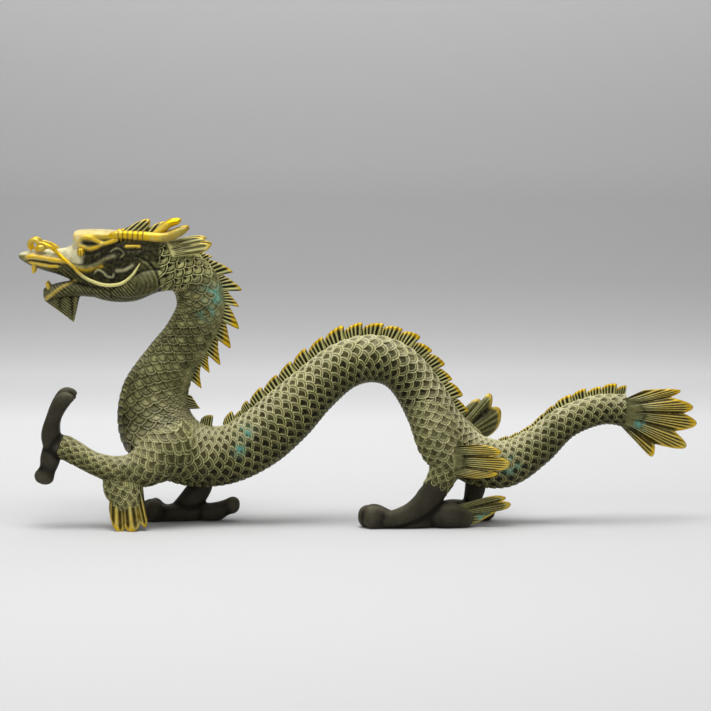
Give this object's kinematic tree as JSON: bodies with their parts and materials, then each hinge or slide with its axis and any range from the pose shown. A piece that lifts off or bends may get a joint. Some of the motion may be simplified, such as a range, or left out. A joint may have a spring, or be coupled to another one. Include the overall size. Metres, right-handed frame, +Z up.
{
  "type": "dragon sculpture",
  "caption": "Scaled dragon walking with its neck arched and a forepaw raised, cast in one piece and standing on its feet.",
  "frame": {"origin": "on the floor, under the middle of the figure's box", "axes": "+Z up, +X from the head to the tail along the body, +Y from the side with the raised forepaw to the other side"},
  "size_m": [0.5, 0.0799, 0.2268],
  "materials": {
    "patinated_bronze": "olive-green patina over cast bronze, dark in the hollows, with rubbed gilt edges"
  },
  "bodies": {
    "root": {"dragon": "patinated_bronze"}
  },
  "joints": []
}
